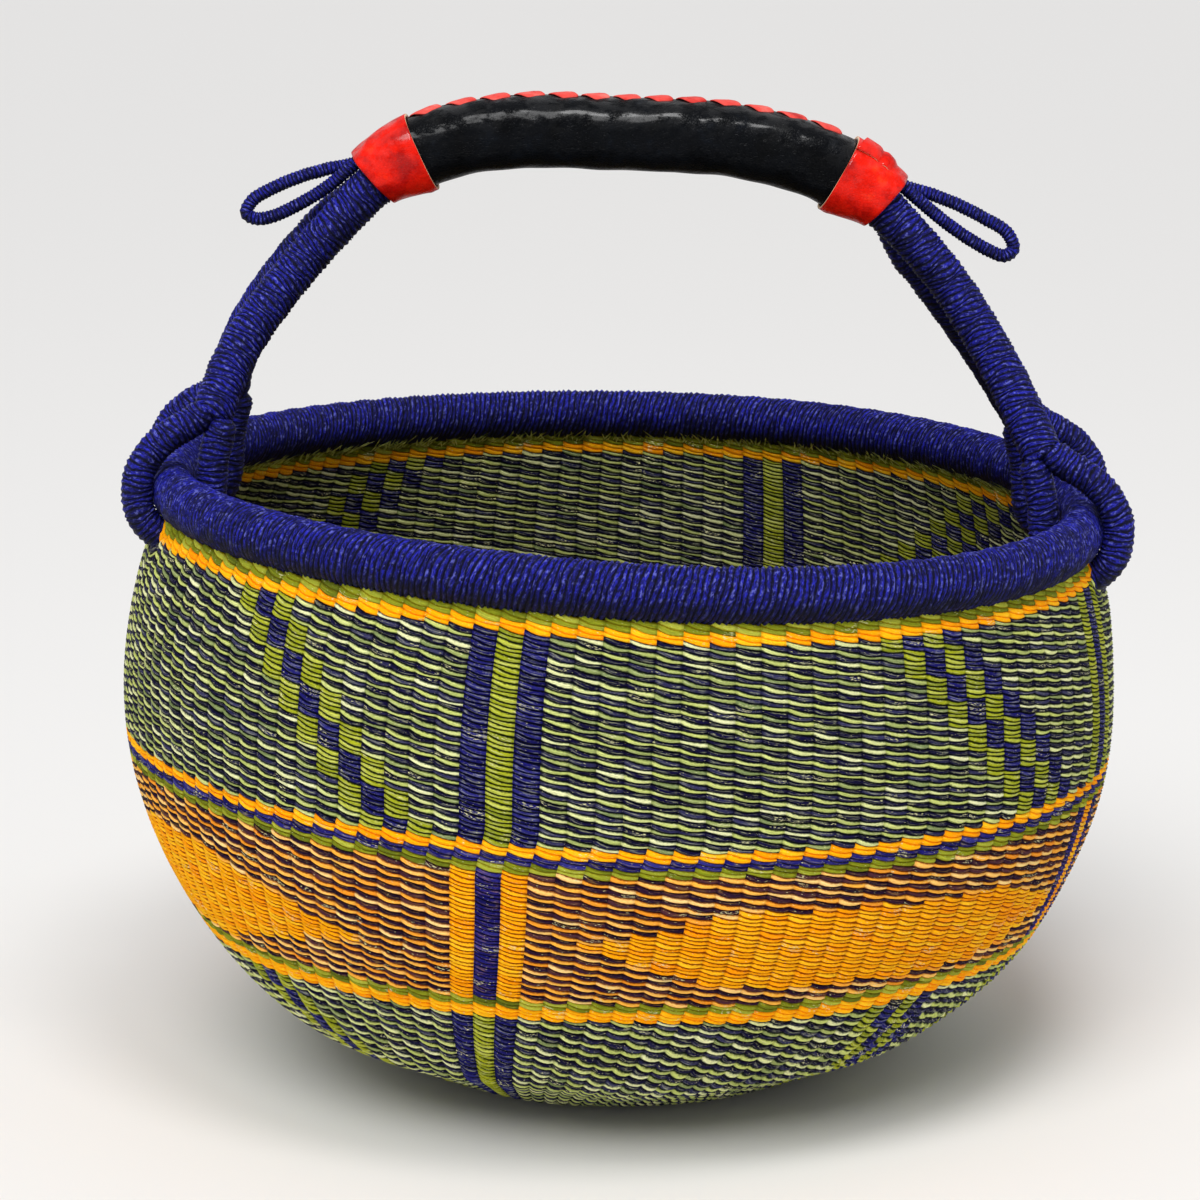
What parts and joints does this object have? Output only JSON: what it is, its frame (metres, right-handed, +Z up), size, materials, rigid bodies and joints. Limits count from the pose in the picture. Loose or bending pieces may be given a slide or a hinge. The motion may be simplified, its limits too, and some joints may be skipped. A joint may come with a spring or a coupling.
{
  "type": "round handled market basket",
  "caption": "Round twined-grass basket with a bound rim, a forked wound handle looped through the wall, and a laced leather grip with red collars.",
  "frame": {"origin": "middle of the flat base, on the surface that the basket stands on", "axes": "+Z up; the front faces -Y; the handle spans the basket along X, with its left end at -X"},
  "size_m": [0.3938, 0.4016, 0.3882],
  "materials": {
    "green_weave": "twined dyed grass, navy and green",
    "orange_weave": "twined dyed grass, orange and dark navy",
    "line_weave": "twined dyed grass, orange rows",
    "navy_grass": "wound dyed grass, soft sheen",
    "straw_core": "bundled straw, hidden",
    "black_leather": "satin",
    "red_leather": "satin"
  },
  "bodies": {
    "root": {"base_weave": "green_weave", "bottom_wall": "green_weave", "flare_wall": "green_weave", "lower_wall": "green_weave", "low_line": "line_weave", "middle_wall": "orange_weave", "middle_line": "line_weave", "upper_wall": "green_weave", "top_line": "line_weave", "rim_core": "straw_core", "rim_binding": "navy_grass", "left_front_loop": "navy_grass", "left_back_loop": "navy_grass", "right_front_loop": "navy_grass", "right_back_loop": "navy_grass", "front_handle_bundle": "navy_grass", "back_handle_bundle": "navy_grass", "grip_padding": "straw_core", "grip_leather": "black_leather", "grip_lace": "red_leather", "left_collar": "red_leather", "right_collar": "red_leather", "left_tie_loop": "navy_grass", "right_tie_loop": "navy_grass"}
  },
  "joints": []
}
